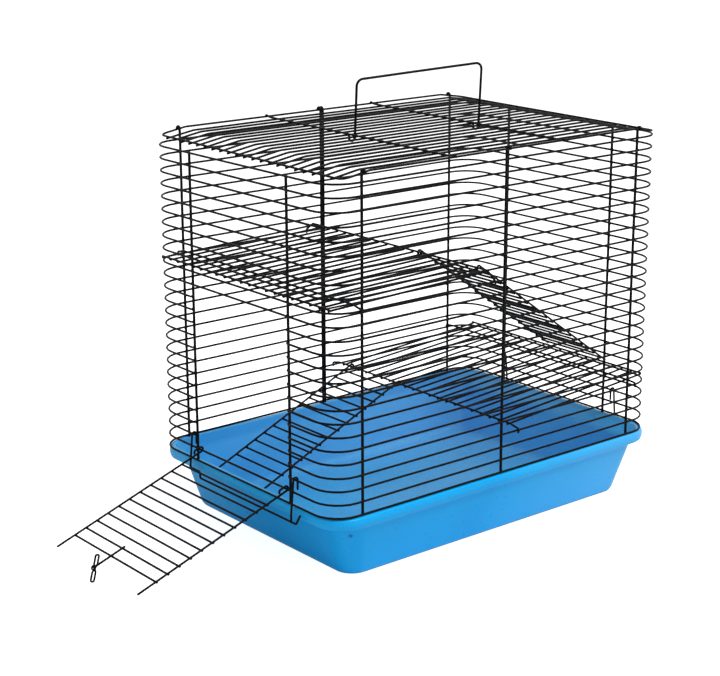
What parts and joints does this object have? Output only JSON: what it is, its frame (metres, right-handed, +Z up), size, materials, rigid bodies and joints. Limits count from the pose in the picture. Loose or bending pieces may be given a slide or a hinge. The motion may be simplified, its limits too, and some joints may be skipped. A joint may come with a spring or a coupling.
{
  "type": "rodent cage",
  "caption": "Wire rodent cage on a moulded tray, with a drop-down ladder door at one end, shelves joined by ladder ramps, end locks and a carrying handle on the roof.",
  "frame": {"origin": "centre of the flat underside of the tray", "axes": "+Z up; the long walls face -Y (front) and +Y (back); the door is in the end wall at -X"},
  "size_m": [0.5916, 0.29, 0.4417],
  "materials": {
    "black_wire": "glossy black enamel over drawn steel wire, thicker at the welds",
    "blue_tray": "bright blue moulded plastic with a satin gloss, slightly paler on the rim"
  },
  "bodies": {
    "root": {"tray": "blue_tray", "wall_wire_01": "black_wire", "wall_wire_02": "black_wire", "wall_wire_03": "black_wire", "wall_wire_04": "black_wire", "wall_wire_05": "black_wire", "wall_wire_06": "black_wire", "wall_wire_07": "black_wire", "wall_wire_08": "black_wire", "wall_wire_09": "black_wire", "wall_wire_10": "black_wire", "wall_wire_11": "black_wire", "wall_wire_12": "black_wire", "wall_wire_13": "black_wire", "wall_wire_14": "black_wire", "wall_wire_15": "black_wire", "wall_wire_16": "black_wire", "wall_wire_17": "black_wire", "wall_wire_18": "black_wire", "wall_wire_19": "black_wire", "wall_wire_20": "black_wire", "wall_wire_21": "black_wire", "wall_wire_22": "black_wire", "wall_wire_23": "black_wire", "wall_wire_24": "black_wire", "wall_wire_25": "black_wire", "front_left_post": "black_wire", "front_middle_post": "black_wire", "front_right_post": "black_wire", "back_left_post": "black_wire", "back_seam_post_left": "black_wire", "back_seam_post_right": "black_wire", "back_right_post": "black_wire", "door_post_back": "black_wire", "door_post_front": "black_wire", "right_end_post_back": "black_wire", "right_end_post_front": "black_wire", "roof_panel": "black_wire", "upper_shelf": "black_wire", "lower_shelf": "black_wire"},
    "handle": {"carrying_handle": "black_wire"},
    "upper_ramp": {"upper_ramp": "black_wire"},
    "lower_ramp": {"lower_ramp": "black_wire"},
    "door": {"door_panel": "black_wire"},
    "catch": {"door_catch": "black_wire"},
    "lock_left": {"tray_lock_left": "black_wire"},
    "lock_right": {"tray_lock_right": "black_wire"}
  },
  "joints": [
    {"name": "handle_swing", "type": "hinge", "parent": "root", "child": "handle", "pos_m": [0, -0.00889, 0.3794], "axis": [0.9831, -0.1831, 0], "range_deg": [-30, 40]},
    {"name": "door_hinge", "type": "hinge", "parent": "root", "child": "door", "pos_m": [-0.20905, 0, 0.0786], "axis": [0, 1, 0], "range_deg": [0, 109.1]},
    {"name": "catch_turn", "type": "hinge", "parent": "door", "child": "catch", "pos_m": [-0.3708, 0, 0.02005], "axis": [0, 1, 0], "range_deg": [-40, 0]},
    {"name": "lock_left_swing", "type": "hinge", "parent": "root", "child": "lock_left", "pos_m": [-0.20905, 0, 0.0913], "axis": [0, 1, 0], "range_deg": [0, 27.5]},
    {"name": "lock_right_swing", "type": "hinge", "parent": "root", "child": "lock_right", "pos_m": [0.20905, 0, 0.0913], "axis": [0, -1, 0], "range_deg": [0, 90]},
    {"name": "upper_ramp_lift", "type": "hinge", "parent": "root", "child": "upper_ramp", "pos_m": [-0.0179, -0.0786, 0.2659], "axis": [0, -1, 0], "range_deg": [0, 1.2]},
    {"name": "lower_ramp_lift", "type": "hinge", "parent": "root", "child": "lower_ramp", "pos_m": [0.0164, 0.073, 0.1084], "axis": [0, 1, 0], "range_deg": [0, 12]}
  ]
}
